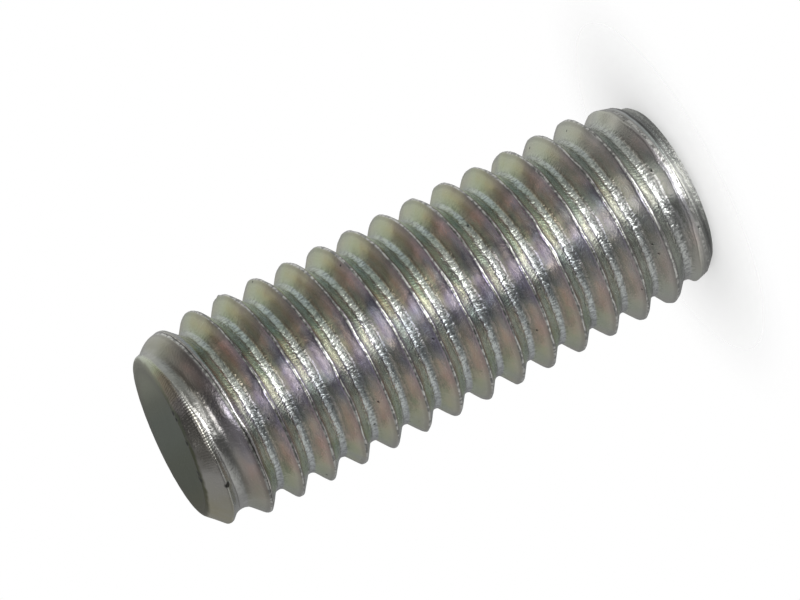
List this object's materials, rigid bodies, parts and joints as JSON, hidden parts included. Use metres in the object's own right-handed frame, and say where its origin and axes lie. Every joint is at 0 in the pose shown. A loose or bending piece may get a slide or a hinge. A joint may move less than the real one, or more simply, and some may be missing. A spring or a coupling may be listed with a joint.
{
  "type": "socket set screw",
  "caption": "Headless set screw: a fully threaded rod with a hexagon socket in one end and a flat point at the other, zinc plated steel.",
  "frame": {"origin": "middle of the flat face of the socket end, which the screw stands on", "axes": "+Z along the screw from the socket end to the flat point; +X and +Y across it, with two corners of the hexagon on X"},
  "size_m": [0.006, 0.006, 0.016],
  "materials": {
    "zinc_plated_steel": "rolled thread with bright zinc plating and a thin clear chromate film that shows faint green, brown, violet and blue tints"
  },
  "bodies": {
    "root": {"set_screw": "zinc_plated_steel"}
  },
  "joints": []
}
